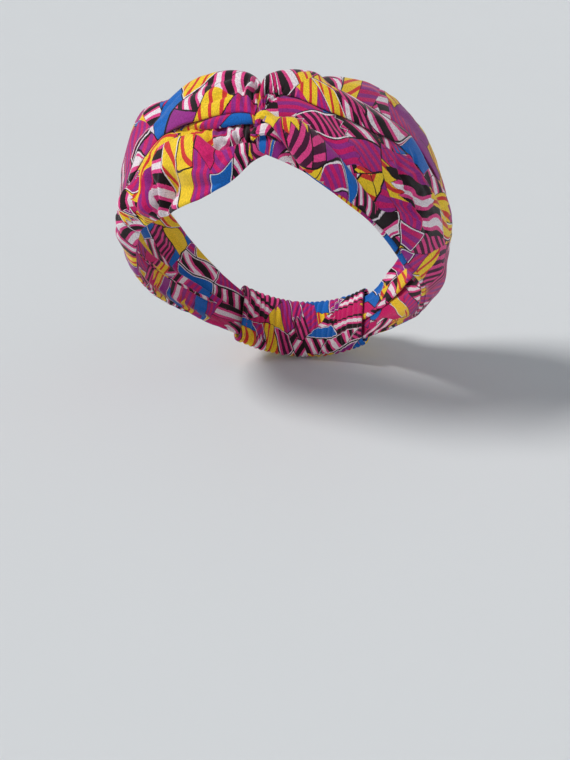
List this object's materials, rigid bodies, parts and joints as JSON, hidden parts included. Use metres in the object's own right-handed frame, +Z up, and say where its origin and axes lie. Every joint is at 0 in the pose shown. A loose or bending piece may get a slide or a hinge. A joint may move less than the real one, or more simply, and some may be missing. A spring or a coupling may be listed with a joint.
{
  "type": "knotted woven headband",
  "caption": "Wide turban headband of printed woven cloth: two pleated loops hook through each other at the front and end in a ruched casing at the nape.",
  "frame": {"origin": "centre of the space that the head fills, in the middle of the loop", "axes": "+Z up on an upright head, -Y the way the face looks, towards the knot, +X to the right as seen by someone who looks at the knot"},
  "size_m": [0.1652, 0.147, 0.1844],
  "materials": {
    "printed_cloth": "matte, slightly fuzzy plain weave with an all-over print"
  },
  "bodies": {
    "root": {"right_loop": "printed_cloth", "left_loop": "printed_cloth", "nape_casing": "printed_cloth"}
  },
  "joints": []
}
